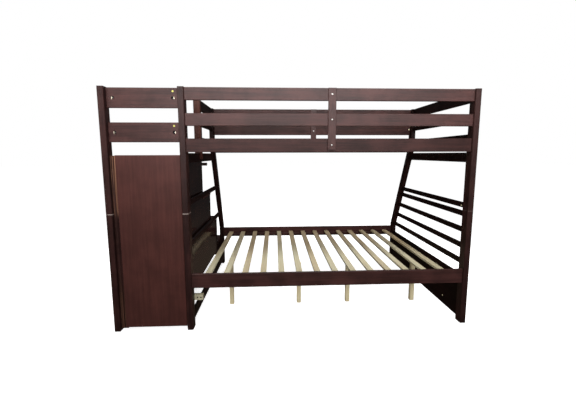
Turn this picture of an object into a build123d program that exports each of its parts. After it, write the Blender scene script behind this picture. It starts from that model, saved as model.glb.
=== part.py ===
"""Single-over-double bunk bed in stained wood, with a storage staircase at its left end.

X runs along the bed with the stairs at the low end, Y from the wall side to the room side, Z up from the
floor. The pieces are drawn from the outer corner of the left wall post, and the finished bed is then moved
so that the origin lies on the floor, in the middle of its outline.
"""
import os
from math import asin, atan2, degrees, tan

from build123d import *

# Overall frame
inner_length = 1940.0        # clear length between the end posts, for a 1905 mm mattress
upper_depth = 1050.0         # over the posts of the single bed
lower_depth = 1450.0         # over the posts of the double bed
post_width = 41.0            # along X
post_depth = 66.0            # along Y
post_height = 1672.0
post_seam = 836.0            # height where the two halves of each post meet
slant_over_rail = 55.0       # upper bend of the room posts over the lower edge of the upper rail
slant_over_lower = 21.0      # lower bend over the top of the lower rail
post_arris = 3.0             # bevel along the edges

# Boards
board_thickness = 20.0
board_setback = 11.0         # board face behind the outer face of the posts
board_arris = 2.0
guard_height = 82.0
guard_gap = 83.0
room_guard_rise = 10.0       # middle guard of the room side is this much wider, at its top
guard_drop = 2.0             # top of the guards under the top of the posts
rail_gap = 82.0              # middle guard to upper rail
upper_rail_height = 90.0
lower_rail_bottom = 305.0
lower_rail_height = 102.0
upright_width = 54.0
upright_thickness = 9.0
wall_upright_lift = 14.0     # foot of the wall upright over the lower edge of the rail
room_upright_gap = 4.0       # foot of the room upright over the slats

# Ends of the bed
end_bar_height = 38.0
cross_rail_drop = 5.0        # cross rails under the lower edge of the upper rails
cross_rail_height = 69.0
seam_bar_gap = 12.0          # bars stay this far from the seam of the posts
lower_bar_pitch = 118.0
lower_bar_count = 4
end_panel_bottom = 24.0
end_panel_height = 331.0
end_panel_thickness = 15.0
left_upper_bar_lift = 45.0   # left bars from the seam of the posts
left_lower_bar_drop = 252.0
stretcher_bottom = 57.0
stretcher_height = 68.0
entry_width = 361.0          # way in from the landing, wall post to entry upright
entry_upright_width = 53.0
entry_upright_depth = 42.0
entry_upright_lift = 20.0    # foot of the entry upright over the lower edge of the cross rail
block_reach = 61.0           # pine block past the inner face of the left wall post
block_depth = 30.0
block_bottom = 190.0
block_height = 42.0

# Slats
slat_width = 45.0
slat_thickness = 18.0
slat_count = 14
slat_margin = 86.0           # centre of the end slats from the posts
slat_end_play = 2.0
lower_slat_lift = 57.0       # top of the slats over the lower edge of the rail
upper_slat_lift = 46.0
batten_width = 20.0
batten_height = 24.0
batten_end_gap = 20.0
leg_width = 34.0
leg_row = 375.0              # wall side of the leg row, from the wall face of the bed
leg_places = ((1, 0.0), (5, 14.0), (8, 16.0), (12, 25.0))  # slat, and how far the leg stands off its middle

# Stairs
stair_clear_width = 465.0    # between the stair post and the left wall post
landing_drop = 12.0          # landing under the left cross rail
step_run = 300.0
step_count = 4               # the top one is the landing
top_riser = 630.0            # front of the landing's box, from the wall face of the bed
tread_thickness = 25.0
tread_overhang = 20.0
nosing_radius = 11.0
side_thickness = 15.0
inner_side_bottom = 210.0    # the side facing the bed stays open below this
outer_side_bottom = 12.0
back_panel_setback = 12.0
back_panel_thickness = 15.0
back_panel_bottom = 25.0
back_panel_rise = 67.0       # panel over the landing
back_panel_right_gap = 3.0
corner_batten_width = 32.0
corner_batten_depth = 22.0
corner_batten_show = 22.0    # of its width left bare beside the back panel
corner_batten_drop = 3.0     # under the top of the back panel
landing_lip = 18.0           # bed-side board over the landing, behind the cross rail
stair_guard_setback = 35.0
stair_guard_height = 129.5
stair_guard_gap = 93.0
stair_guard_drop = 3.0       # under the top of the posts
riser_bottom = 60.0
riser_thickness = 18.0
front_leg_width = 40.0

# Drawers
drawer_gap = 3.0             # round each front
drawer_front_thickness = 18.0
drawer_length = 380.0
drawer_side_height = 170.0
drawer_wall = 12.0
drawer_side_gap = 8.0        # box to side board
drawer_base_lift = 14.0      # underside of the box over the lower edge of the front
drawer_bottom_thickness = 6.0
drawer_bottom_lift = 10.0    # underside of the bottom over that of the sides
groove_depth = 5.0
groove_play = 0.2
runner_width = 16.0
runner_height = 18.0
runner_play = 0.3
runner_back = 10.0           # runner past the back of the closed drawer
knob_radius = 16.0
knob_base_radius = 10.0
knob_neck_radius = 7.0
knob_length = 26.0
knob_rim = 4.0
knob_crown = 6.0

# Fasteners
bolt_radius = 3.0
bolt_head_radius = 6.5
bolt_head_length = 4.0
bolt_past_nut = 8.0
rail_bolt_reach = 50.0       # bolt in the end of a bed rail
nut_radius = 6.0
nut_length = 14.0
nut_recess = 2.0
nut_inset = 38.0             # nut from the end of its board
pin_radius = 6.0
pin_length = 100.0
fastener_play = 0.2

# Derived places
bed_length = inner_length + 2 * post_width
right_inner = bed_length - post_width
stair_inner = -stair_clear_width
stair_left = stair_inner - post_width
stair_front = top_riser + step_run * (step_count - 1) + tread_overhang
wall_board = board_setback
room_upper_board = upper_depth - board_setback - board_thickness
room_lower_board = lower_depth - board_setback - board_thickness
wall_board_inner = wall_board + board_thickness
right_end_board = bed_length - board_setback - board_thickness
bed_centre = bed_length / 2
slat_pitch = (inner_length - 2 * slat_margin) / (slat_count - 1)

top_guard_top = post_height - guard_drop
top_guard_bottom = top_guard_top - guard_height
middle_guard_bottom = top_guard_bottom - guard_gap - guard_height
upper_rail_bottom = middle_guard_bottom - rail_gap - upper_rail_height
lower_rail_top = lower_rail_bottom + lower_rail_height
lower_slat_top = lower_rail_bottom + lower_slat_lift
upper_slat_top = upper_rail_bottom + upper_slat_lift
cross_rail_top = upper_rail_bottom - cross_rail_drop
cross_rail_bottom = cross_rail_top - cross_rail_height
guard_bar_gap = (top_guard_bottom - cross_rail_top - 2 * end_bar_height) / 3
guard_bar_bottoms = [cross_rail_top + guard_bar_gap + k * (end_bar_height + guard_bar_gap) for k in (0, 1)]
entry_upright_y = post_depth + entry_width
step_rise = (cross_rail_bottom - landing_drop) / step_count
back_panel_top = step_rise * step_count + back_panel_rise
corner_batten_top = back_panel_top - corner_batten_drop
upper_stair_guard = post_height - stair_guard_drop - stair_guard_height
stair_guard_bottoms = (upper_stair_guard - stair_guard_gap - stair_guard_height, upper_stair_guard)

slant_top = upper_rail_bottom + slant_over_rail
slant_bottom = lower_rail_top + slant_over_lower
slant_angle = atan2(lower_depth - upper_depth, slant_top - slant_bottom)
mitre_shift = post_depth / 2 * tan(slant_angle / 2)

nodes = {}


def block(x_range, y_range, z_range):
    """Plain board between two corners."""
    size = [high - low for low, high in (x_range, y_range, z_range)]
    corner = (Align.MIN, Align.MIN, Align.MIN)
    return Pos(x_range[0], y_range[0], z_range[0]) * Box(*size, align=corner)


def board(x_range, y_range, z_range, along, arris=board_arris):
    """Board with its four long edges bevelled."""
    plain = block(x_range, y_range, z_range)
    return chamfer(plain.edges().filter_by(along), arris)


def side_profile(points, x_range):
    """Outline in Y and Z, as thick as the X range."""
    face = make_face(Polyline(*points, close=True))
    plane = Plane(origin=(x_range[0], 0, 0), x_dir=(0, 1, 0), z_dir=(1, 0, 0))
    return extrude(plane * face, amount=x_range[1] - x_range[0])


def rod(start, direction, radius, length):
    """Round bar from a point along one of the axes."""
    plane = Plane(origin=start, z_dir=direction)
    return extrude(plane * Circle(radius), amount=length)


def drill(name, holes):
    """Take holes out of a node that is already there."""
    nodes[name] = nodes[name] - holes


def slanted(z, top_y, shift):
    """Y of one face of a room post at a height; the mitred bends of the two faces lie shifted in height."""
    drop = slant_top + shift - z
    reach = lower_depth - upper_depth
    return top_y + min(max(drop / (slant_top - slant_bottom), 0.0), 1.0) * reach


def room_post_front(z):
    """Face of a room post that looks at the wall side."""
    return slanted(z, upper_depth - post_depth, -mitre_shift)


def room_post_back(z):
    """Face of a room post that looks into the room."""
    return slanted(z, upper_depth, mitre_shift)


def straight_post(x, z_range):
    """Half of an upright post on the wall side."""
    return board((x, x + post_width), (0, post_depth), z_range, Axis.Z, post_arris)


def dog_leg_post(x, z_range, front_bend, back_bend):
    """Half of a room post, bent once where its slanted stretch ends."""
    low, high = z_range
    outline = [
        (room_post_front(low), low),
        (room_post_back(low), low),
        (room_post_back(back_bend), back_bend),
        (room_post_back(high), high),
        (room_post_front(high), high),
        (room_post_front(front_bend), front_bend),
    ]
    post = side_profile(outline, (x, x + post_width))
    long_edges = [edge for edge in post.edges() if abs(edge.tangent_at(0.5).Z) > 0.5]
    return chamfer(long_edges, post_arris)


def make_posts():
    """Five posts in two halves each, joined by steel pins across the seam."""
    lower_range = (0, post_seam)
    upper_range = (post_seam, post_height)
    pins = []
    pin_room_y = (room_post_front(post_seam) + room_post_back(post_seam)) / 2
    straight = {"wall_left": 0, "wall_right": right_inner, "stair": stair_left}
    for name, x in straight.items():
        nodes[name + "_post_upper"] = straight_post(x, upper_range)
        nodes[name + "_post_lower"] = straight_post(x, lower_range)
        pins.append((name, x + post_width / 2, post_depth / 2))
    upper_bends = (slant_top - mitre_shift, slant_top + mitre_shift)
    lower_bends = (slant_bottom - mitre_shift, slant_bottom + mitre_shift)
    for name, x in {"room_left": 0, "room_right": right_inner}.items():
        nodes[name + "_post_upper"] = dog_leg_post(x, upper_range, *upper_bends)
        nodes[name + "_post_lower"] = dog_leg_post(x, lower_range, *lower_bends)
        pins.append((name, x + post_width / 2, pin_room_y))
    pin_bottom = post_seam - pin_length / 2
    group = []
    for name, x, y in pins:
        hole = rod((x, y, pin_bottom), (0, 0, 1), pin_radius + fastener_play, pin_length)
        drill(name + "_post_upper", hole)
        drill(name + "_post_lower", hole)
        group.append(rod((x, y, pin_bottom), (0, 0, 1), pin_radius, pin_length))
    nodes["post_pins"] = Compound(children=group)


def make_bed_sides():
    """Guard boards and rails between the posts of each long side, with the upright that ties them."""
    span = (post_width, right_inner)
    rail_top = upper_rail_bottom + upper_rail_height
    heights = {
        "top_guard": (top_guard_bottom, top_guard_top),
        "upper_rail": (upper_rail_bottom, rail_top),
    }
    middle_top = middle_guard_bottom + guard_height
    sides = {"wall": (wall_board, middle_top), "room": (room_upper_board, middle_top + room_guard_rise)}
    for side, (y, guard_top) in sides.items():
        heights["middle_guard"] = (middle_guard_bottom, guard_top)
        for name, z_range in heights.items():
            nodes[f"{side}_{name}"] = board(span, (y, y + board_thickness), z_range, Axis.X)
    lower_range = (lower_rail_bottom, lower_rail_top)
    for side, y in {"wall": wall_board, "room": room_lower_board}.items():
        nodes[f"{side}_lower_rail"] = board(span, (y, y + board_thickness), lower_range, Axis.X)
    upright_x = (bed_centre - upright_width / 2, bed_centre + upright_width / 2)
    uprights = {
        "wall": (wall_board, upper_rail_bottom + wall_upright_lift),
        "room": (room_upper_board, upper_slat_top + room_upright_gap),
    }
    for side, (y, foot) in uprights.items():
        upright_y = (y - upright_thickness, y)
        nodes[side + "_centre_upright"] = board(upright_x, upright_y, (foot, top_guard_top), Axis.Z)


def end_bar(x_range, y_start, z_range):
    """Bar across one end of the bed, cut to the slant of the room post."""
    low, high = z_range
    outline = [
        (y_start, low),
        (room_post_front(low), low),
        (room_post_front(high), high),
        (y_start, high),
    ]
    bar = side_profile(outline, x_range)
    return chamfer(bar.edges().filter_by(Axis.Y), board_arris)


def bars(x_range, y_start, bottoms, height):
    """Group of equal bars at several heights."""
    return Compound(children=[end_bar(x_range, y_start, (z, z + height)) for z in bottoms])


def make_bed_ends():
    """Boards and bars across the two ends."""
    right_x = (right_end_board, right_end_board + board_thickness)
    left_x = (board_setback, board_setback + board_thickness)
    top_z = (top_guard_bottom, top_guard_top)
    cross_z = (cross_rail_bottom, cross_rail_top)
    nodes["right_top_board"] = end_bar(right_x, post_depth, top_z)
    nodes["right_guard_bars"] = bars(right_x, post_depth, guard_bar_bottoms, end_bar_height)
    nodes["right_cross_rail"] = end_bar(right_x, post_depth, cross_z)
    first_lower = post_seam - seam_bar_gap - end_bar_height
    bottoms = [post_seam + seam_bar_gap]
    bottoms += [first_lower - k * lower_bar_pitch for k in range(lower_bar_count)]
    nodes["right_end_bars"] = bars(right_x, post_depth, bottoms, end_bar_height)
    panel_x = (right_end_board, right_end_board + end_panel_thickness)
    panel_z = (end_panel_bottom, end_panel_bottom + end_panel_height)
    nodes["right_end_panel"] = end_bar(panel_x, post_depth, panel_z)

    entry_back = entry_upright_y + entry_upright_depth
    nodes["left_top_board"] = end_bar(left_x, entry_back, top_z)
    nodes["left_guard_bars"] = bars(left_x, entry_back, guard_bar_bottoms, end_bar_height)
    nodes["left_cross_rail"] = end_bar(left_x, post_depth, cross_z)
    left_bottoms = (post_seam + left_upper_bar_lift, post_seam - left_lower_bar_drop)
    nodes["left_end_bars"] = bars(left_x, post_depth, left_bottoms, end_bar_height)
    stretcher_x = (post_width - board_thickness, post_width)
    stretcher_z = (stretcher_bottom, stretcher_bottom + stretcher_height)
    nodes["left_stretcher"] = end_bar(stretcher_x, post_depth, stretcher_z)

    # The entry upright straddles the cross rail with an open slot
    upright_x = (post_width / 2 - entry_upright_width / 2, post_width / 2 + entry_upright_width / 2)
    upright_y = (entry_upright_y, entry_back)
    upright_foot = cross_rail_bottom + entry_upright_lift
    upright = board(upright_x, upright_y, (upright_foot, top_guard_top), Axis.Z)
    slot = block(left_x, upright_y, (upright_foot, cross_rail_top))
    nodes["entry_upright"] = upright - slot

    block_x = (0, post_width + block_reach)
    block_y = (post_depth, post_depth + block_depth)
    nodes["left_post_block"] = board(block_x, block_y, (block_bottom, block_bottom + block_height), Axis.X)


def make_slats():
    """Slats of both beds on battens inside the rails, and the leg row of the lower one."""
    first = bed_centre - slat_pitch * (slat_count - 1) / 2
    centres = [first + k * slat_pitch for k in range(slat_count)]
    decks = {"lower": (lower_slat_top, room_lower_board), "upper": (upper_slat_top, room_upper_board)}
    battens = []
    batten_x = (post_width + batten_end_gap, right_inner - batten_end_gap)
    for deck, (top, room_face) in decks.items():
        under = top - slat_thickness
        y_range = (wall_board_inner + slat_end_play, room_face - slat_end_play)
        group = []
        for x in centres:
            group.append(block((x - slat_width / 2, x + slat_width / 2), y_range, (under, top)))
        nodes[deck + "_slats"] = Compound(children=group)
        for y in (wall_board_inner, room_face - batten_width):
            battens.append(block(batten_x, (y, y + batten_width), (under - batten_height, under)))
    nodes["slat_battens"] = Compound(children=battens)
    legs = []
    for k, off_middle in leg_places:
        middle = centres[k] + off_middle
        leg_x = (middle - leg_width / 2, middle + leg_width / 2)
        leg_y = (leg_row, leg_row + leg_width)
        legs.append(board(leg_x, leg_y, (0, lower_slat_top - slat_thickness), Axis.Z))
    nodes["slat_legs"] = Compound(children=legs)


def riser_front(level):
    """Front of the box under a step, level 1 at the floor."""
    return top_riser + step_run * (step_count - level)


def tread_top(level):
    return step_rise * level


def make_stairs():
    """Side boards in one board a level, treads on top of them, back panel on corner battens."""
    panel_back = back_panel_setback + back_panel_thickness
    outer_x = (stair_inner, stair_inner + side_thickness)
    inner_x = (-side_thickness, 0)
    outer = []
    inner = []
    for level in range(1, step_count + 1):
        top = tread_top(level) - tread_thickness
        back = riser_front(level + 1) if level == 1 else panel_back
        under = tread_top(level - 1) - tread_thickness
        outer_under = outer_side_bottom if level <= 2 else under
        inner_under = inner_side_bottom if level <= 2 else under
        inner_top = tread_top(level) + landing_lip if level == step_count else top
        outer.append(block(outer_x, (back, riser_front(level)), (outer_under, top)))
        inner.append(block(inner_x, (back, riser_front(level)), (inner_under, inner_top)))
    nodes["stair_outer_sides"] = Compound(children=outer)
    nodes["stair_inner_sides"] = Compound(children=inner)

    treads = []
    for level in range(1, step_count):
        y_range = (riser_front(level + 1), riser_front(level) + tread_overhang)
        z_range = (tread_top(level) - tread_thickness, tread_top(level))
        treads.append(nosed(block((stair_inner, 0), y_range, z_range)))
    nodes["stair_treads"] = Compound(children=treads)

    # The landing lies inside the bed-side board; its front strip laps that board, under the cross rail
    batten_front = panel_back + corner_batten_depth
    landing_front = top_riser + tread_overhang
    outline = Polyline(
        (stair_inner, batten_front),
        (stair_inner, landing_front),
        (post_width, landing_front),
        (post_width, top_riser),
        (inner_x[0], top_riser),
        (inner_x[0], batten_front),
        close=True,
    )
    landing_z = tread_top(step_count) - tread_thickness
    nodes["stair_landing"] = nosed(Pos(0, 0, landing_z) * extrude(make_face(outline), amount=tread_thickness))

    panel_x = (outer_x[1] + corner_batten_show, -back_panel_right_gap)
    panel_y = (back_panel_setback, panel_back)
    nodes["stair_back_panel"] = board(panel_x, panel_y, (back_panel_bottom, back_panel_top), Axis.Z)
    batten_y = (panel_back, batten_front)
    outer_corner = (outer_x[1], outer_x[1] + corner_batten_width)
    inner_corner = (inner_x[0] - corner_batten_width, inner_x[0])
    battens = [
        block(outer_corner, batten_y, (outer_side_bottom, corner_batten_top)),
        block(inner_corner, batten_y, (inner_side_bottom, corner_batten_top)),
        block(outer_x, batten_y, (landing_z, corner_batten_top)),
    ]
    nodes["stair_battens"] = Compound(children=battens)

    guards = []
    guard_y = (stair_guard_setback, stair_guard_setback + board_thickness)
    for bottom in stair_guard_bottoms:
        guards.append(board((stair_inner, 0), guard_y, (bottom, bottom + stair_guard_height), Axis.X))
    nodes["stair_guards"] = Compound(children=guards)

    first_front = riser_front(1)
    first_under = tread_top(1) - tread_thickness
    riser_y = (first_front - riser_thickness, first_front)
    nodes["stair_riser"] = block((outer_x[1], inner_x[0]), riser_y, (riser_bottom, first_under))
    leg_y = (riser_y[0] - front_leg_width, riser_y[0])
    legs = []
    for x in (outer_x[1], inner_x[0] - front_leg_width):
        legs.append(board((x, x + front_leg_width), leg_y, (0, first_under), Axis.Z))
    nodes["stair_front_legs"] = Compound(children=legs)


def nosed(step):
    """Round the front edge of a step, over and under."""
    front = step.faces().sort_by(Axis.Y)[-1]
    return fillet(front.edges().filter_by(Axis.X), nosing_radius)


def make_drawer(name, level):
    """Drawer behind one riser: inset front, grooved sides, back, loose bottom and a turned knob."""
    front_y = riser_front(level)
    front_back = front_y - drawer_front_thickness
    back_y = front_back - drawer_length
    bay_x = (stair_inner + side_thickness, -side_thickness)
    front_z = (tread_top(level - 1) + drawer_gap, tread_top(level) - tread_thickness - drawer_gap)
    front_x = (bay_x[0] + drawer_gap, bay_x[1] - drawer_gap)
    front = board(front_x, (front_back, front_y), front_z, Axis.X)
    nodes[name + "_front"] = front

    box_x = (bay_x[0] + drawer_side_gap, bay_x[1] - drawer_side_gap)
    base = front_z[0] + drawer_base_lift
    top = base + drawer_side_height
    bottom_z = (base + drawer_bottom_lift, base + drawer_bottom_lift + drawer_bottom_thickness)
    bottom_x = (box_x[0] + drawer_wall - groove_depth, box_x[1] - drawer_wall + groove_depth)
    inner_x = (box_x[0] + drawer_wall, box_x[1] - drawer_wall)
    length_y = (back_y, front_back)
    groove = block(
        (bottom_x[0] - groove_play, bottom_x[1] + groove_play),
        length_y,
        (bottom_z[0] - groove_play, bottom_z[1] + groove_play),
    )
    left_side = block((box_x[0], inner_x[0]), length_y, (base, top)) - groove
    right_side = block((inner_x[1], box_x[1]), length_y, (base, top)) - groove
    back = block(inner_x, (back_y, back_y + drawer_wall), (bottom_z[1], top))
    bottom = block(bottom_x, length_y, bottom_z)
    nodes[name + "_box"] = Compound(children=[left_side, right_side, back, bottom])

    centre = (sum(front_x) / 2, front_y, sum(front_z) / 2)
    nodes[name + "_knob"] = turned_knob(centre)

    runner_top = base - runner_play
    runner_y = (back_y - runner_back, front_back - drawer_gap)
    runner_z = (runner_top - runner_height, runner_top)
    left = block((bay_x[0], bay_x[0] + runner_width), runner_y, runner_z)
    right = block((bay_x[1] - runner_width, bay_x[1]), runner_y, runner_z)
    return [left, right]


def turned_knob(centre):
    """Wooden knob with a waist and a domed head, standing on a drawer front."""
    rim = knob_length - knob_crown
    rim_start = rim - knob_rim
    waist_height = rim_start / 2
    crown_radius = (knob_radius ** 2 + knob_crown ** 2) / (2 * knob_crown)
    crown_angle = degrees(asin(knob_radius / crown_radius))
    outline = make_face([
        Line((0, 0), (knob_base_radius, 0)),
        ThreePointArc((knob_base_radius, 0), (knob_neck_radius, waist_height), (knob_radius, rim_start)),
        Line((knob_radius, rim_start), (knob_radius, rim)),
        CenterArc((0, knob_length - crown_radius), crown_radius, 90 - crown_angle, crown_angle),
        Line((0, knob_length), (0, 0)),
    ])
    return Pos(*centre) * revolve(outline, axis=Axis.Y)


def make_drawers():
    """Drawers in every level but the lowest, and the runners that carry them."""
    runners = []
    for number, level in enumerate(range(2, step_count + 1), start=1):
        runners += make_drawer(f"drawer_{number}", level)
    nodes["drawer_runners"] = Compound(children=runners)


def drive_bolt(post, rail, start, inward, reach):
    """Bolt through a post, its head let in flush, and on into the end of a board; inward is +1 or -1."""
    along = (inward, 0, 0)
    length = post_width + reach
    bolt_hole = rod(start, along, bolt_radius + fastener_play, length)
    drill(post, [bolt_hole, rod(start, along, bolt_head_radius + fastener_play, bolt_head_length)])
    drill(rail, bolt_hole)
    return rod(start, along, bolt_radius, length) + rod(start, along, bolt_head_radius, bolt_head_length)


def barrel_nut(rail, x, z):
    """Cross-drilled nut in a hole that opens to the wall side of a stair guard."""
    into_board = (0, 1, 0)
    face = stair_guard_setback
    cross = Pos(x, face + board_thickness / 2, z) * Rot(0, 90, 0)
    drill(rail, rod((x, face, z), into_board, nut_radius + fastener_play, nut_recess + nut_length))
    nut = rod((x, face + nut_recess, z), into_board, nut_radius, nut_length)
    return nut - cross * Cylinder(bolt_radius + fastener_play, 2 * nut_length)


def make_bolts():
    """Bolts into the end grain of the bed rails, and into barrel nuts in the stair guards."""
    bolts = []
    nuts = []
    middle = board_thickness / 2
    upper_z = upper_rail_bottom + upper_rail_height / 2
    lower_z = lower_rail_bottom + lower_rail_height / 2
    rails = (
        ("wall", "upper", wall_board + middle, upper_z),
        ("room", "upper", room_upper_board + middle, upper_z),
        ("wall", "lower", wall_board + middle, lower_z),
        ("room", "lower", room_lower_board + middle, lower_z),
    )
    for side, half, y, z in rails:
        rail = f"{side}_{half}_rail"
        for end, x, inward in (("left", 0, 1), ("right", bed_length, -1)):
            bolts.append(drive_bolt(f"{side}_{end}_post_{half}", rail, (x, y, z), inward, rail_bolt_reach))
    for bottom in stair_guard_bottoms:
        z = bottom + stair_guard_height / 2
        ends = (("stair_post_upper", stair_left, 1), ("wall_left_post_upper", post_width, -1))
        for post, x, inward in ends:
            start = (x, stair_guard_setback + middle, z)
            bolts.append(drive_bolt(post, "stair_guards", start, inward, nut_inset + bolt_past_nut))
            nuts.append(barrel_nut("stair_guards", x + inward * (post_width + nut_inset), z))
    nodes["bolts"] = Compound(children=bolts)
    nodes["barrel_nuts"] = Compound(children=nuts)


make_posts()
make_bed_sides()
make_bed_ends()
make_slats()
make_stairs()
make_drawers()
make_bolts()

overall_depth = max(stair_front, lower_depth)
to_origin = Pos(-(bed_length + stair_left) / 2, -overall_depth / 2, 0)
os.makedirs("parts", exist_ok=True)
for node_name, shape in nodes.items():
    export_step(to_origin * shape, f"parts/{node_name}.step")
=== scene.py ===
"""Looks of the bunk bed with storage stairs: stained wood, bare pine and plated fasteners."""

from math import cos, hypot, pi, radians, sin

import bmesh
import bpy
from mathutils import Matrix, Vector


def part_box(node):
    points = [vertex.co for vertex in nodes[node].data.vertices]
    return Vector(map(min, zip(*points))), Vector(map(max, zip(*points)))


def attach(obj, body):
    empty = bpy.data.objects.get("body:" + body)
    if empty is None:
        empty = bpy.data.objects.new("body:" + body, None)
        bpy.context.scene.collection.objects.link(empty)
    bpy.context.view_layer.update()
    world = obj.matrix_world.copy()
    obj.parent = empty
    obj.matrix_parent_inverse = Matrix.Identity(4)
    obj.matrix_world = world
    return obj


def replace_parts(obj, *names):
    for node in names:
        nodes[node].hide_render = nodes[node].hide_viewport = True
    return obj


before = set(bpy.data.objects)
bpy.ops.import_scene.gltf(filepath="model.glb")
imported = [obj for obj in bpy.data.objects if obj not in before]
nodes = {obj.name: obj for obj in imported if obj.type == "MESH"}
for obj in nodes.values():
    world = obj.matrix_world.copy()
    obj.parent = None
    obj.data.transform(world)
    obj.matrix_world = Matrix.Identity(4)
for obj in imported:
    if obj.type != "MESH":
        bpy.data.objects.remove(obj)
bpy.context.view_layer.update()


# Posts: five posts of planed softwood in two halves each, stained espresso brown under satin lacquer. The
# halves meet in a seam at mid height over a steel pin, with raw wood showing along the joint. The room
# posts are cut with a slanted stretch, so their grain follows the bend.
class Wire:
    """A value in a material: arithmetic on it adds Math nodes, and node() adds any other node."""

    def __init__(self, tree, socket=None):
        self.tree = tree
        self.socket = socket

    def node(self, kind, settings=None, inputs=None, output=0):
        made = self.tree.nodes.new(kind)
        for key, value in (settings or {}).items():
            setattr(made, key, value)
        for key, value in (inputs or {}).items():
            if isinstance(value, Wire):
                self.tree.links.new(value.socket, made.inputs[key])
            else:
                made.inputs[key].default_value = value
        return Wire(self.tree, made.outputs[output])

    def math(self, operation, first, second=0.0):
        return self.node("ShaderNodeMath", {"operation": operation}, {0: first, 1: second})

    def __add__(self, other):
        return self.math("ADD", self, other)

    def __radd__(self, other):
        return self.math("ADD", other, self)

    def __sub__(self, other):
        return self.math("SUBTRACT", self, other)

    def __rsub__(self, other):
        return self.math("SUBTRACT", other, self)

    def __mul__(self, other):
        return self.math("MULTIPLY", self, other)

    def __rmul__(self, other):
        return self.math("MULTIPLY", other, self)

    def __truediv__(self, other):
        return self.math("DIVIDE", self, other)

    def __abs__(self):
        return self.math("ABSOLUTE", self)

    def between(self, low, high):
        """0 below low, 1 above high, smooth in between."""
        limits = {"Value": self, "From Min": low, "From Max": high}
        return self.node("ShaderNodeMapRange", {"interpolation_type": "SMOOTHSTEP"}, limits)

    def axis(self, letter):
        """One coordinate of a vector."""
        return self.node("ShaderNodeSeparateXYZ", None, {"Vector": self}, letter)

    def stretched(self, scale):
        """Coordinates scaled along each axis."""
        return self.node("ShaderNodeMapping", None, {"Vector": self, "Scale": scale})

    def noise(self, scale, detail=3.0, roughness=0.55):
        """Grey noise on coordinates."""
        sockets = {"Vector": self, "Scale": scale, "Detail": detail, "Roughness": roughness}
        return self.node("ShaderNodeTexNoise", None, sockets)

    def blend(self, first, second):
        """Colour mix by this value: first at 0, second at 1."""
        return self.node("ShaderNodeMix", {"data_type": "RGBA"}, {0: self, 6: first, 7: second}, 2)


def tint(colour, strength=1.0):
    """Colour for a socket, made brighter or darker by a factor."""
    return (*(channel * strength for channel in colour), 1.0)


def new_material(name):
    """Empty material, its shader, and the place on the bed that is being shaded."""
    material = bpy.data.materials.new(name)
    material.use_nodes = True
    shader = material.node_tree.nodes["Principled BSDF"]
    return material, shader, Wire(material.node_tree).node("ShaderNodeTexCoord", output="Object")


def feed(shader, name, wire):
    """Link a value to one of a shader's sockets."""
    wire.tree.links.new(wire.socket, shader.inputs[name])


def surface_normal(here):
    return here.node("ShaderNodeNewGeometry", output="Normal")


def edge_rub(here, width):
    """1 on sharp edges and 0 on flat faces, from how far a rounded normal turns away."""
    rounded = here.node("ShaderNodeBevel", {"samples": 4}, {"Radius": width})
    facing = here.node("ShaderNodeVectorMath", {"operation": "DOT_PRODUCT"},
                       {0: rounded, 1: surface_normal(here)}, "Value")
    return (1.0 - facing).between(0.02, 0.25)


grain_scales = {"X": (1.0, 30.0, 30.0), "Y": (30.0, 1.0, 30.0), "Z": (30.0, 30.0, 1.0)}
espresso = (0.044, 0.0158, 0.0138)
rubbed_wood = (0.15, 0.075, 0.05)


def darker(stain, share):
    """A share of a stain's strength."""
    return tuple(channel * share for channel in stain)


def stained_wood(name, grain, stain, gloss=0.4, gleam=0.26, bend=None, marks=None, mark_colour=None,
                 contrast=1.0, wear=0.55):
    """Dark stain: broad figure and fine streaks along the grain, open pores, rubbed edges, satin lacquer."""
    material, shader, here = new_material(name)
    along = (bend(here) if bend else here).stretched(grain_scales[grain])
    figure = along.noise(1.7, 4.0, 0.62)
    streaks = along.noise(7.0, 3.0, 0.6)
    pores = along.noise(27.0, 2.0, 0.5).between(0.6, 0.7)
    patches = here.noise(5.0, 3.0, 0.6).between(0.3, 0.75)
    shade = (figure * 0.5 + streaks * 0.3 + patches * 0.2).between(0.3, 0.68)
    colour = shade.blend(tint(stain, 1.0 - 0.44 * contrast), tint(stain, 1.0 + 0.5 * contrast))
    colour = (pores * 0.5 * contrast).blend(colour, tint(stain, 0.25))
    rub = edge_rub(here, width=0.003) * here.noise(38.0, 3.0, 0.6).between(0.45, 0.66)
    colour = (rub * wear).blend(colour, tint(rubbed_wood))
    if marks:
        colour = marks(here).blend(colour, tint(mark_colour))
    feed(shader, "Base Color", colour)
    feed(shader, "Roughness", gloss - 0.06 + streaks * 0.14 + pores * 0.12 + rub * 0.1)
    height = streaks * 0.25 - pores * 0.6
    bump = {"Strength": 0.15, "Distance": 0.0006, "Height": height}
    feed(shader, "Normal", here.node("ShaderNodeBump", None, bump))
    shader.inputs["Specular IOR Level"].default_value = gleam
    return material


post_depth = 0.066
bend_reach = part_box("room_left_post_lower")[1].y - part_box("room_left_post_upper")[0].y - post_depth
bend_foot = 0.428
bend_top = 1.306
seam_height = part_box("wall_left_post_lower")[1].z


def follow_bend(here):
    """Coordinates that shift with the slanted stretch of a room post, so that the grain runs along it."""
    height = here.axis("Z")
    limits = {"Value": height, "From Min": bend_foot, "From Max": bend_top}
    shift = (1.0 - height.node("ShaderNodeMapRange", None, limits)) * bend_reach
    parts = {"X": here.axis("X"), "Y": here.axis("Y") - shift, "Z": height}
    return here.node("ShaderNodeCombineXYZ", None, parts)


def raw_seam(here):
    """Chipped stain along the joint of two post halves."""
    off_seam = abs(here.axis("Z") - seam_height)
    chips = here.noise(70.0, 3.0, 0.7).between(0.36, 0.5)
    stair_end = 1.0 - here.axis("X").between(-0.5, 1.0) * 0.85
    return (1.0 - off_seam.between(0.001, 0.0032)) * chips * stair_end * 0.85


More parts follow.
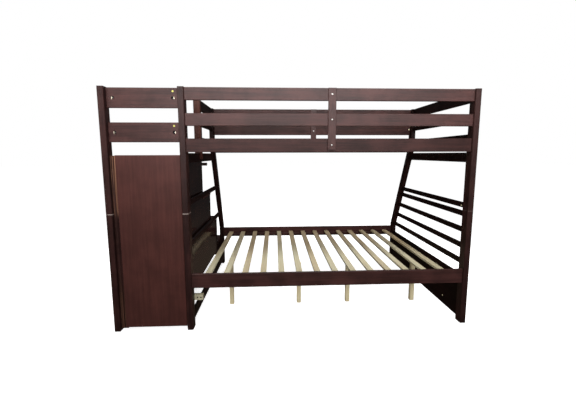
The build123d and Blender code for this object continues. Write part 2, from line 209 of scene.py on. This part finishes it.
chipped_wood = (0.50, 0.41, 0.37)
stain_post = stained_wood("espresso_post", "Z", darker(espresso, 0.6), gleam=0.2, marks=raw_seam,
                          mark_colour=chipped_wood)
# Painted shade: the room posts take the stain darkened to about a third, for the shade on their slanted
# faces.
shaded_bent_stain = stained_wood("espresso_bent_post_shaded", "Z", darker(espresso, 0.31), gleam=0.09, bend=follow_bend,
                          wear=0.2)

corner_gap = 0.00001
eased_width = 0.0009


def ease_edges(piece, width):
    """Join the corners of a piece and take a little off every edge."""
    join = piece.modifiers.new("join_corners", "WELD")
    join.merge_threshold = corner_gap
    if width:
        bevel = piece.modifiers.new("eased_edges", "BEVEL")
        bevel.width = width
        bevel.segments = 2
        bevel.limit_method = "ANGLE"
        bevel.angle_limit = radians(28)


def dress(name, material, ease=eased_width):
    """Give a CAD piece its finish and eased edges. With None, as for boards that touch, its edges stay."""
    piece = nodes[name]
    for place in piece.material_slots:
        place.material = material
    if ease is not None:
        ease_edges(piece, ease)


for half in ("upper", "lower"):
    for post in ("wall_left", "wall_right", "stair"):
        dress(f"{post}_post_{half}", stain_post)
    for post in ("room_left", "room_right"):
        dress(f"{post}_post_{half}", shaded_bent_stain)

# Rails and guard boards of the long sides: planed boards between the posts, stained like them, with the
# grain along the bed. A flat upright over the middle of each upper side ties them together.
stain_long = stained_wood("espresso_long", "X", espresso)
stain_room = stained_wood("espresso_room", "X", darker(espresso, 0.9), gleam=0.14)
stain_rail = stained_wood("espresso_rail", "X", darker(espresso, 0.75), gleam=0.18)
stain_upright = stained_wood("espresso_upright", "Z", espresso)
for side, stain in (("wall", stain_long), ("room", stain_room)):
    for board in ("top_guard", "middle_guard", "lower_rail"):
        dress(f"{side}_{board}", stain)
    dress(side + "_upper_rail", stain_rail)
    dress(side + "_centre_upright", stain_upright)
dress("slat_battens", stain_long)


# Screws of the uprights: zinc plated raised heads with a cross recess, one in each board, driven from the
# wall side on one upright and from inside the bed on the other.
def plated(name, metal, roughness):
    """Plating with dull spots."""
    material, shader, here = new_material(name)
    dull = here.noise(160.0, 3.0, 0.6)
    feed(shader, "Base Color", dull.blend(tint(metal), tint(metal, 0.6)))
    feed(shader, "Roughness", roughness + dull * 0.2)
    shader.inputs["Metallic"].default_value = 1.0
    return material


def turned(profile, steps):
    """Spin a profile of (radius, height) points about Z; its first ring and its last stay open."""
    mesh = bmesh.new()
    first_angle = pi / steps
    corners = [mesh.verts.new((r * cos(first_angle), r * sin(first_angle), z)) for r, z in profile]
    line = [mesh.edges.new(pair) for pair in zip(corners, corners[1:])]
    bmesh.ops.spin(mesh, geom=corners + line, cent=(0, 0, 0), axis=(0, 0, 1), angle=2 * pi, steps=steps,
                   use_merge=True)
    return mesh


def sink(mesh, height, outline, depth):
    """Turn the open ring at a height into the outline of a recess, and close it at a depth."""
    rim = [e for e in mesh.edges if e.is_boundary and all(abs(v.co.z - height) < 1e-6 for v in e.verts)]
    for corner in {v for e in rim for v in e.verts}:
        reach = hypot(corner.co.x, corner.co.y)
        way = corner.co.xy / reach
        corner.co.xy = way * outline(way.x, way.y)
    wall = bmesh.ops.extrude_edge_only(mesh, edges=rim)["geom"]
    low_ring = [v for v in wall if isinstance(v, bmesh.types.BMVert)]
    bmesh.ops.translate(mesh, verts=low_ring, vec=(0, 0, -depth))
    floor_ring = [e for e in wall if isinstance(e, bmesh.types.BMEdge) and e.is_boundary]
    bmesh.ops.contextual_create(mesh, geom=floor_ring)


def finished(mesh, name):
    """Mesh data from a bmesh that is done."""
    data = bpy.data.meshes.new(name)
    mesh.to_mesh(data)
    mesh.free()
    return data


def pattern(mesh, name):
    """Small mesh with its open ends closed, to be copied to several places."""
    bmesh.ops.holes_fill(mesh, edges=[e for e in mesh.edges if e.is_boundary])
    bmesh.ops.recalc_face_normals(mesh, faces=mesh.faces)
    return finished(mesh, name)


def new_object(name, mesh):
    """Object of a bmesh that is done, linked to the scene."""
    made = bpy.data.objects.new(name, finished(mesh, name))
    bpy.context.scene.collection.objects.link(made)
    return made


def set_in(name, small, places, material):
    """One piece of copies of a small mesh: each place is a point, the way it faces and a turn about that."""
    mesh = bmesh.new()
    for point, facing, turn in places:
        known = set(mesh.verts)
        mesh.from_mesh(small)
        upright = Vector(facing).to_track_quat("Z", "Y").to_matrix().to_4x4()
        where = Matrix.Translation(point) @ upright @ Matrix.Rotation(turn, 4, "Z")
        bmesh.ops.transform(mesh, matrix=where, verts=[v for v in mesh.verts if v not in known])
    piece = new_object(name, mesh)
    piece.data.materials.append(material)
    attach(piece, "bed")
    return piece


def cross_outline(arm, waist):
    """Recess of a cross screw: four arms with a narrow waist between them."""
    return lambda x, y: waist if abs(abs(x) - abs(y)) < 0.2 else arm


def cross_head(name, radius, height):
    """Raised screw head with a cross recess."""
    head = turned([(radius, 0.0), (radius * 0.93, height * 0.55), (radius * 0.6, height)], steps=12)
    recess = cross_outline(arm=radius * 0.55, waist=radius * 0.2)
    sink(head, height, recess, depth=height * 1.3)
    return pattern(head, name)


zinc = plated("zinc", (0.74, 0.73, 0.70), roughness=0.24)
upright_screw = cross_head("upright_screw", radius=0.0055, height=0.0014)


def middle_height(name):
    """Height of the middle of a node."""
    low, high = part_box(name)
    return (low.z + high.z) / 2


screw_drops = {"wall": (0.0, 0.0, 0.0), "room": (0.015, 0.007, 0.0)}
screw_inset = 0.012
for side in ("wall", "room"):
    low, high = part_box(side + "_centre_upright")
    spots = []
    for turn, board in enumerate(("top_guard", "middle_guard", "upper_rail")):
        height = max(middle_height(f"{side}_{board}") - screw_drops[side][turn], low.z + screw_inset)
        spots.append((((low.x + high.x) / 2, low.y, height), (0, -1, 0), turn * 1.3))
    set_in(side + "_upright_screws", upright_screw, spots, zinc)

# Ends of the bed: boards and bars across, their far ends cut to the slant of the room posts, and the entry
# upright that straddles the cross rail beside the way in. Dowels and glue hold them to the posts.
# Painted shade: the end pieces take the stain darkened to under a quarter, for the shade on their faces
# inside the ends.
shaded_across_stain = stained_wood("espresso_across_shaded", "Y", darker(espresso, 0.22), gleam=0.06, wear=0.15)
across = ("right_top_board", "right_guard_bars", "right_cross_rail", "right_end_bars", "right_end_panel",
          "left_top_board", "left_guard_bars", "left_cross_rail", "left_end_bars", "left_stretcher")
for name in across:
    dress(name, shaded_across_stain)
stain_entry = stained_wood("espresso_entry", "Z", (0.046, 0.0145, 0.0100), gleam=0.12)
dress("entry_upright", stain_entry)


# Slats and legs: bare planed pine with small knots, each slat a little different in tone and darker towards
# its far end with painted shade, screwed down to stained battens inside the rails. Four legs carry the middle
# of the lower deck.
pine_tone_and_shade = (0.50, 0.355, 0.20)
knot_brown = (0.2, 0.085, 0.03)


def bare_pine(name, grain, pale, tan, cell=None):
    """Planed pine: early and late wood in soft bands, small knots, a tone of its own for every slat, and
    painted shade that darkens every slat towards its far end.
    """
    material, shader, here = new_material(name)
    along = here.stretched(grain_scales[grain])
    bands = along.noise(2.4, 3.0, 0.5)
    fibres = along.noise(16.0, 3.0, 0.6)
    cells = here.stretched([0.45 if letter == grain else 1.0 for letter in "XYZ"])
    knot_off = cells.node("ShaderNodeTexVoronoi", None, {"Vector": cells, "Scale": 9.0})
    knot = 1.0 - knot_off.between(0.03, 0.085)
    colour = (bands * 0.7 + fibres * 0.3).between(0.32, 0.7).blend(tint(pale), tint(tan))
    if cell:
        number = here.math("FLOOR", (here.axis("X") + cell[0]) / cell[1])
        tone = here.node("ShaderNodeTexWhiteNoise", {"noise_dimensions": "1D"}, {"W": number})
        # Painted shade: every slat darker and browner towards its far end.
        far_end_shade = here.axis("Y").between(-0.35, 0.4) * 0.4
        tone_and_shade = (tone * 0.4 + here.stretched((6.0, 1.0, 6.0)).noise(2.0) * 0.5 + far_end_shade).between(0.4, 0.9)
        colour = (tone_and_shade * 0.75).blend(colour, tint(pine_tone_and_shade))
    colour = (knot * 0.7).blend(colour, tint(knot_brown))
    feed(shader, "Base Color", colour)
    feed(shader, "Roughness", 0.55 + fibres * 0.2)
    bump = {"Strength": 0.2, "Distance": 0.0005, "Height": fibres - knot * 0.4}
    feed(shader, "Normal", here.node("ShaderNodeBump", None, bump))
    shader.inputs["Specular IOR Level"].default_value = 0.3
    return material


pine_pale = (0.665, 0.625, 0.445)
pine_tan = (0.575, 0.495, 0.32)
slat_low, slat_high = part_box("lower_slats")
slat_width = 0.045
slat_count = 14
slat_pitch = (slat_high.x - slat_low.x - slat_width) / (slat_count - 1)
slat_cell = (slat_pitch / 2 - slat_width / 2 - slat_low.x, slat_pitch)
pine_slats = bare_pine("pine_slats", "Y", pine_pale, pine_tan, slat_cell)
pine_upright = bare_pine("pine_upright", "Z", (0.83, 0.74, 0.48), (0.72, 0.60, 0.37))
dress("slat_legs", pine_upright)
slat_screw = cross_head("slat_screw", radius=0.0038, height=0.0005)
slat_screw_inset = 0.009
for deck in ("lower", "upper"):
    dress(deck + "_slats", pine_slats, ease=2 * eased_width)
    low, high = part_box(deck + "_slats")
    spots = []
    for count in range(slat_count):
        x = low.x + slat_width / 2 + count * slat_pitch
        for y in (low.y + slat_screw_inset, high.y - slat_screw_inset):
            spots.append(((x, y, high.z), (0, 0, 1), count * 0.9 + y))
    set_in(deck + "_slat_screws", slat_screw, spots, zinc)

# Block behind the left wall post: a short offcut of raw pine, left unstained, that shows past the post below
# the lower rail. Two dark cross screws hold it, driven from the wall side.
pine_long = bare_pine("pine_long", "X", pine_pale, pine_tan)
dress("left_post_block", pine_long, ease=0.0015)
black_steel = plated("black_steel", (0.07, 0.068, 0.065), roughness=0.35)
block_screw = cross_head("block_screw", radius=0.0048, height=0.0012)
low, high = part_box("left_post_block")
middle = middle_height("left_post_block")
block_screw_insets = (0.016, 0.040)
spots = [((high.x - inset, low.y, middle), (0, -1, 0), inset * 50) for inset in block_screw_insets]
set_in("block_screws", block_screw, spots, black_steel)


# Stair tower: veneered side boards, one for each level, a reddish veneered back panel, and stained treads
# with rounded fronts. The back edges of the boards and battens were cut after staining and show raw wood.
def raw_back_edge(here):
    """Bare streaks on the faces that look at the wall, over the seam of the posts and down at the floor."""
    backward = (0.0 - surface_normal(here).axis("Y")).between(0.6, 0.9)
    height = here.axis("Z")
    worn = height.between(0.80, 0.86) * 0.4 + (1.0 - height.between(0.10, 0.42)) * 0.3
    return backward * worn * here.stretched((170.0, 1.0, 1.6)).noise(1.0, 1.0).between(0.42, 0.6)


arris_off_panel = 0.008
batten_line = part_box("stair_back_panel")[0].x - arris_off_panel


def raw_batten_line(here):
    """Those streaks, and a bare arris down the batten beside the panel, palest at its top."""
    off_line = abs(here.axis("X") - batten_line)
    arris = (1.0 - off_line.between(0.001, 0.005)) * here.axis("Z").between(0.82, 1.2)
    return here.math("MAXIMUM", raw_back_edge(here), arris * 0.85)


bare_edge = (0.34, 0.165, 0.095)
veneer_red = (0.065, 0.021, 0.0172)
veneer_brown = (0.030, 0.0125, 0.0105)
veneer_panel = stained_wood("veneer_panel", "Z", veneer_red, gloss=0.42, gleam=0.22, contrast=0.5)
# Painted shade: the sides that face the bed take the side veneer darkened to under half, for the shade on
# that side of the tower.
veneer_inner_shaded = stained_wood("veneer_inner_shaded", "Y", darker(veneer_brown, 0.45), gloss=0.1, gleam=1.0)
veneer_outer = stained_wood("veneer_outer", "Y", veneer_brown, gloss=0.3, gleam=0.3, marks=raw_back_edge,
                            mark_colour=bare_edge)
stain_batten = stained_wood("espresso_batten", "Z", darker(espresso, 0.5), gleam=0.14, marks=raw_batten_line,
                            mark_colour=bare_edge)
dress("stair_back_panel", veneer_panel)
dress("stair_outer_sides", veneer_outer, ease=None)
dress("stair_inner_sides", veneer_inner_shaded, ease=None)
dress("stair_battens", stain_batten, ease=None)
dress("stair_front_legs", stain_upright)
for name in ("stair_treads", "stair_landing", "stair_riser"):
    dress(name, stain_long)

# Stair guards: two boards bolted between the posts. A round pocket bored from the wall side near each end
# takes the nut of a bolt; its inside is darkened with painted shade.
guard_low, guard_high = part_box("stair_guards")
nut_low, nut_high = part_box("barrel_nuts")
cad_nut_radius = 0.006
nut_columns = (nut_low.x + cad_nut_radius, nut_high.x - cad_nut_radius)
nut_heights = (nut_high.z - cad_nut_radius, nut_low.z + cad_nut_radius)
pocket_radius = 0.0108
pocket_depth = 0.0165


def off_pair(place, pair):
    """How far a coordinate is from the nearer of two values."""
    return abs(abs(place - sum(pair) / 2) - abs(pair[1] - pair[0]) / 2)


def painted_pocket_shade(here):
    """Painted shade in the round pockets of the nuts, down to their floor."""
    aside = off_pair(here.axis("X"), nut_columns)
    above = off_pair(here.axis("Z"), nut_heights)
    off_nut = here.math("SQRT", aside * aside + above * above)
    inside = 1.0 - off_nut.between(pocket_radius + 0.0002, pocket_radius + 0.0012)
    depth = here.axis("Y") - guard_low.y
    return inside * (1.0 - depth.between(pocket_depth + 0.0005, pocket_depth + 0.0025)) * 0.92


# Near black colour of that painted shade in the pockets.
pocket_shade_colour = (0.007, 0.004, 0.0035)
stain_guards = stained_wood("espresso_stair_guards", "X", espresso, marks=painted_pocket_shade,
                            mark_colour=pocket_shade_colour)
boards = bmesh.new()
boards.from_mesh(nodes["stair_guards"].data)
bmesh.ops.remove_doubles(boards, verts=boards.verts, dist=corner_gap)
stair_guards = new_object("stair_guard_boards", boards)
drills = bmesh.new()
for x in nut_columns:
    for z in nut_heights:
        along_y = Matrix.Translation((x, guard_low.y, z)) @ Matrix.Rotation(pi / 2, 4, "X")
        bmesh.ops.create_cone(drills, cap_ends=True, segments=32, radius1=pocket_radius,
                              radius2=pocket_radius, depth=2 * pocket_depth, matrix=along_y)
drill_bits = new_object("drill_bits", drills)
boring = stair_guards.modifiers.new("boring", "BOOLEAN")
boring.operation = "DIFFERENCE"
boring.solver = "EXACT"
boring.object = drill_bits
bored = stair_guards.evaluated_get(bpy.context.evaluated_depsgraph_get())
bored_mesh = bpy.data.meshes.new_from_object(bored)
stair_guards.modifiers.clear()
stair_guards.data = bored_mesh
bpy.data.objects.remove(drill_bits)
bored_mesh.materials.clear()
bored_mesh.materials.append(stain_guards)
ease_edges(stair_guards, eased_width)
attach(stair_guards, "bed")
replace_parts(stair_guards, "stair_guards")

# Dowel ends: glued pegs of pale wood, sanded nearly flush, over each inner nut of the stair guards and in
# three bores that show at the right end.
dowel_yellow = bare_pine("dowel_end", "Y", (0.47, 0.45, 0.11), (0.41, 0.38, 0.09))
peg_radius = 0.007
peg_height = 0.0011
peg_dimple = 0.002
peg_side = [(peg_radius, 0.0), (peg_radius, 0.0005), (0.0066, 0.0009), (peg_dimple, peg_height)]
peg = turned(peg_side, steps=16)
sink(peg, peg_height, lambda x, y: peg_dimple, depth=0.0001)
dowel_end = pattern(peg, "dowel_end")
dowel_over_nut = 0.042
spots = [((nut_columns[1], guard_low.y, z + dowel_over_nut), (0, -1, 0), 0.0) for z in nut_heights]
set_in("dowel_ends", dowel_end, spots, dowel_yellow)
dowel_pale = bare_pine("pale_dowel_end", "X", (0.86, 0.80, 0.55), (0.78, 0.70, 0.44))
right_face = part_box("right_end_bars")[0].x
room_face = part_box("room_middle_guard")[0].y
right_spots = [
    ((right_face, -0.679, 0.864), (-1, 0, 0), 0.0),
    ((right_face, -0.503, 0.089), (-1, 0, 0), 0.0),
    ((1.2116, room_face, 1.4775), (0, -1, 0), 0.0),
]
set_in("right_dowel_ends", dowel_end, right_spots, dowel_pale)

# Drawers: three boxes of bare pine with grooved sides and a loose bottom, which slide on pine runners along
# the stair sides. Their stained fronts sit between the treads and carry turned, stained knobs.
pine_runners = bare_pine("pine_runners", "Y", pine_pale, pine_tan)
dress("drawer_runners", pine_runners)
for number in (1, 2, 3):
    dress(f"drawer_{number}_front", stain_long)
    dress(f"drawer_{number}_box", pine_runners, ease=None)
    # The knobs take that darkened stain of the ends, painted shade included.
    dress(f"drawer_{number}_knob", shaded_across_stain, ease=0.0)

# Bolts, nuts and pins: zinc plated bolts with a hexagon socket, let in flush through the posts, and yellow
# plated half-moon nuts against the end side of the pockets in the stair guards. Plain plated pins join the
# halves of the posts.
dress("post_pins", zinc, ease=0.0)


def hexagon_outline(flat):
    """Socket with flats at this distance from the middle."""
    turns = [(cos(k * pi / 3), sin(k * pi / 3)) for k in range(6)]
    return lambda x, y: flat / max(x * c + y * s for c, s in turns)


shank_radius = 0.003
head_radius = 0.0065
head_height = 0.004


def socket_bolt(name, length):
    """Bolt with a round head and a hexagon socket; its head faces along Z with the face at 0."""
    shank = [(0.0021, -length), (shank_radius, 0.001 - length), (shank_radius, -head_height)]
    head = [(head_radius, -head_height), (head_radius, -0.0004), (0.0061, 0.0), (0.0034, 0.0)]
    bolt = turned(shank + head, steps=24)
    sink(bolt, 0.0, hexagon_outline(flat=0.0025), depth=0.0026)
    return pattern(bolt, name)


bolt_reach = 0.0409
rail_bolt_length = 0.091
guard_bolt_length = 0.082
places = []
for side in ("wall", "room"):
    for half in ("upper", "lower"):
        low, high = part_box(f"{side}_{half}_rail")
        middle = ((low.y + high.y) / 2, (low.z + high.z) / 2)
        places.append(((low.x - bolt_reach, *middle), (-1, 0, 0), 0.3))
        places.append(((high.x + bolt_reach, *middle), (1, 0, 0), 0.9))
rail_bolts = set_in("rail_bolts", socket_bolt("rail_bolt", rail_bolt_length), places, zinc)
middle_y = (guard_low.y + guard_high.y) / 2
places = [((guard_low.x - bolt_reach, middle_y, z), (-1, 0, 0), 0.5) for z in nut_heights]
stair_bolts = set_in("stair_bolts", socket_bolt("stair_bolt", guard_bolt_length), places, zinc)
places = [((guard_high.x + bolt_reach, middle_y, z), (1, 0, 0), 0.7) for z in nut_heights]
entry_bolts = set_in("entry_bolts", socket_bolt("entry_bolt", guard_bolt_length), places, zinc)
for piece in (rail_bolts, stair_bolts, entry_bolts):
    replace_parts(piece, "bolts")


def half_moon(name, radius, flat, length):
    """Rod cut off lengthwise: it lies on the -X side of its middle and faces along Z, its face at 0."""
    mesh = bmesh.new()
    bmesh.ops.create_circle(mesh, cap_ends=True, segments=40, radius=radius)
    disc = [*mesh.verts, *mesh.edges, *mesh.faces]
    bmesh.ops.bisect_plane(mesh, geom=disc, plane_co=(-flat, 0, 0), plane_no=(1, 0, 0), clear_outer=True)
    grown = bmesh.ops.extrude_face_region(mesh, geom=list(mesh.faces), use_keep_orig=True)["geom"]
    far_end = [v for v in grown if isinstance(v, bmesh.types.BMVert)]
    bmesh.ops.translate(mesh, verts=far_end, vec=(0, 0, -length))
    sharp = [e for e in mesh.edges if e.calc_face_angle() > radians(40)]
    bmesh.ops.bevel(mesh, geom=sharp, offset=0.0006, segments=2, profile=0.5, material=-1,
                    affect="EDGES")
    return pattern(mesh, name)


yellow_zinc = plated("yellow_zinc", (0.66, 0.57, 0.45), roughness=0.42)
nut_sunk = 0.003
nut_play = 0.0002
guard_nut = half_moon("guard_nut", pocket_radius - nut_play, flat=0.0035, length=0.013)
places = [((x, guard_low.y + nut_sunk, z), (0, -1, 0), turn)
          for x, turn in zip(nut_columns, (0.0, pi)) for z in nut_heights]
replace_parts(set_in("guard_nuts", guard_nut, places, yellow_zinc), "barrel_nuts")

# Floor, light and camera: a plain pale floor that glows, so that it stays white, and soft studio lights round
# the bed. The camera stands at the wall side, its lens and tilt solved from the bed's straight edges.
floor_size = 60.0
ground = bmesh.new()
bmesh.ops.create_grid(ground, x_segments=1, y_segments=1, size=floor_size / 2)
floor = new_object("floor", ground)
material, shader, here = new_material("pale_floor")
feed(shader, "Base Color", here.noise(3.0).blend(tint((0.88, 0.88, 0.88)), tint((0.86, 0.86, 0.86))))
off_centre = here.node("ShaderNodeVectorMath", {"operation": "LENGTH"}, {0: here}, "Value")
glow = off_centre.between(0.8, 4.0).blend(tint((0.80, 0.80, 0.80)), tint((0.97, 0.97, 0.97)))
feed(shader, "Emission Color", glow)
shader.inputs["Emission Strength"].default_value = 1.0
shader.inputs["Roughness"].default_value = 0.9
shader.inputs["Specular IOR Level"].default_value = 0.0
floor.data.materials.append(material)
floor.visible_glossy = False
floor.visible_diffuse = False

# The camera sees a white room. Light and reflections come from a dim one, darkest beyond the bed, where only
# the floor below gives a little warm light back.
scene = bpy.context.scene
scene.view_settings.view_transform = "Standard"
world = bpy.data.worlds.new("studio")
world.use_nodes = True
scene.world = world
sky = world.node_tree.nodes["Background"]
seen = Wire(world.node_tree).node("ShaderNodeLightPath", output="Is Camera Ray")
way = seen.node("ShaderNodeTexCoord", output="Generated")
lower_room = way.axis("Z").between(-0.15, 0.25)
room = lower_room.blend(tint((0.085, 0.075, 0.068)), tint((0.13, 0.13, 0.13)))
floor_glow = tint((0.075, 0.054, 0.040))
beyond = way.axis("Z").between(-0.34, -0.13).blend(floor_glow, tint((0.022, 0.021, 0.021)))
room = way.axis("Y").between(-0.4, 0.4).blend(room, beyond)
feed(sky, "Color", seen.blend(room, tint((1.0, 1.0, 1.0))))


def soft_light(name, place, target, size, power, spread, mirrored=True):
    """Rectangular light aimed at a point. With mirrored off, glossy finishes don't show it."""
    light = bpy.data.lights.new(name, "AREA")
    light.shape = "RECTANGLE"
    light.size, light.size_y = size
    light.energy = power
    light.spread = radians(spread)
    lamp = bpy.data.objects.new(name, light)
    lamp.location = place
    lamp.rotation_euler = (Vector(target) - Vector(place)).to_track_quat("-Z", "Y").to_euler()
    lamp.visible_glossy = mirrored
    lamp.visible_camera = False
    scene.collection.objects.link(lamp)


soft_light("key", (-0.1, -1.7, 2.6), (-0.1, -0.75, 1.60), size=(4.6, 0.5), power=29.0, spread=92.0)
soft_light("gloss", (0.1, -2.6, 2.15), (0.0, -0.75, 1.64), size=(4.6, 0.4), power=5.2, spread=55.0)
soft_light("fill", (0.3, -4.6, 1.9), (0.2, 0.2, 0.5), size=(5.5, 1.8), power=57.0, spread=120.0)
soft_light("behind", (0.6, 4.6, 0.8), (0.0, 0.5, 0.9), size=(4.0, 1.0), power=66.0, spread=120.0,
           mirrored=False)
soft_light("behind_gloss", (0.4, 3.8, 3.3), (-0.2, 0.5, 0.8), size=(3.0, 0.8), power=7.0, spread=110.0)
soft_light("right_end", (2.9, 0.2, 0.6), (1.2, 0.0, 0.8), size=(1.6, 0.9), power=21.0, spread=130.0,
           mirrored=False)
soft_light("stair_end", (-2.9, 0.4, 0.6), (-1.2, 0.1, 0.7), size=(1.8, 0.9), power=14.0, spread=130.0,
           mirrored=False)

image_width, image_height = 576, 408
focal_pixels = 314.64
axis_pixel = (288.4, 194.0)
yaw, pitch, roll = 0.044, -0.126, -0.002
camera_place = (-0.1337, -2.8981, 1.2367)
camera_data = bpy.data.cameras.new("camera")
camera_data.sensor_fit = "HORIZONTAL"
camera_data.sensor_width = 36.0
camera_data.lens = camera_data.sensor_width * focal_pixels / image_width
camera_data.shift_x = (image_width / 2 - axis_pixel[0]) / image_width
camera_data.shift_y = (axis_pixel[1] - image_height / 2) / image_width
camera = bpy.data.objects.new("camera", camera_data)
forward = Vector((sin(yaw) * cos(pitch), cos(yaw) * cos(pitch), sin(pitch)))
turn = forward.to_track_quat("-Z", "Y").to_matrix().to_4x4() @ Matrix.Rotation(roll, 4, "Z")
camera.matrix_world = Matrix.Translation(camera_place) @ turn
scene.collection.objects.link(camera)
scene.camera = camera
